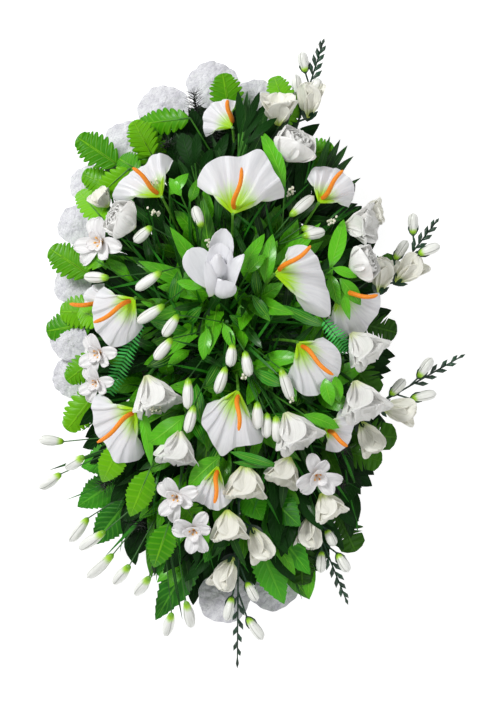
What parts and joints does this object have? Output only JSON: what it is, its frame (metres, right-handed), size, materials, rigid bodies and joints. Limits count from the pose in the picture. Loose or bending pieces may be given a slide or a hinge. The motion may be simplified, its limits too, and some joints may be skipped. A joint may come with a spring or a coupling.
{
  "type": "flower arrangement",
  "caption": "Long oval arrangement of artificial white flowers and green foliage on a flat oval board, filled to the middle, lying on its back.",
  "frame": {"origin": "under the middle of the arrangement, on the flat underside of its backing board", "axes": "+Y towards the top of the oval as the picture shows it, +Z out of the flowers' side, +X to the right of someone who looks at the flowers"},
  "size_m": [0.584, 0.864, 0.2585],
  "materials": {
    "board": "matt",
    "foam": "matt foam",
    "fir": "satin needles",
    "carnation": "crimped matt fabric with fine grey lines",
    "spathe": "satin, yellow-green at the foot",
    "spadix": "grained orange",
    "satin": "satin",
    "cream": "satin, green stalks and cups",
    "fern": "satin, veined",
    "leaf": "satin, veined",
    "emerald": "satin"
  },
  "bodies": {
    "root": {"anthurium_1": "spathe", "anthurium_10": "spathe", "anthurium_11": "spathe", "anthurium_12": "spathe", "anthurium_2": "spathe", "anthurium_3": "spathe", "anthurium_4": "spathe", "anthurium_5": "spathe", "anthurium_6": "spathe", "anthurium_7": "spathe", "anthurium_8": "spathe", "anthurium_9": "spathe", "backing_board": "board", "carnations_bottom": "carnation", "carnations_left": "carnation", "carnations_lower_left": "carnation", "carnations_top": "carnation", "carnations_upper_left": "carnation", "emerald_left": "emerald", "emerald_right": "emerald", "ferns_left": "fern", "ferns_lower_right": "fern", "ferns_right": "fern", "ferns_top": "fern", "ferns_upper_left": "fern", "fir_garland": "fir", "foam_pad": "foam", "lance_top": "leaf", "lance_upper_right": "leaf", "magnolia": "satin", "oval_left": "leaf", "oval_lower": "leaf", "oval_lower_right": "leaf", "oval_right": "leaf", "rose_left": "satin", "rose_right": "satin", "rose_top": "satin", "saw_leaves_bottom": "leaf", "saw_leaves_left": "leaf", "snowdrops_bottom_left": "cream", "snowdrops_far_left": "cream", "snowdrops_middle": "cream", "snowdrops_upper_left": "cream", "snowdrops_upper_right": "cream", "spadix_1": "spadix", "spadix_2": "spadix", "spadix_4": "spadix", "spadix_5": "spadix", "spadix_6": "spadix", "spadix_7": "spadix", "spray_bottom": "cream", "spray_bottom_right": "cream", "spray_lower_right": "cream", "spray_right": "cream", "spray_top": "cream", "stars_lower": "satin", "trumpet_right": "satin", "trumpets_left": "satin", "trumpets_lower_right": "satin"}
  },
  "joints": []
}
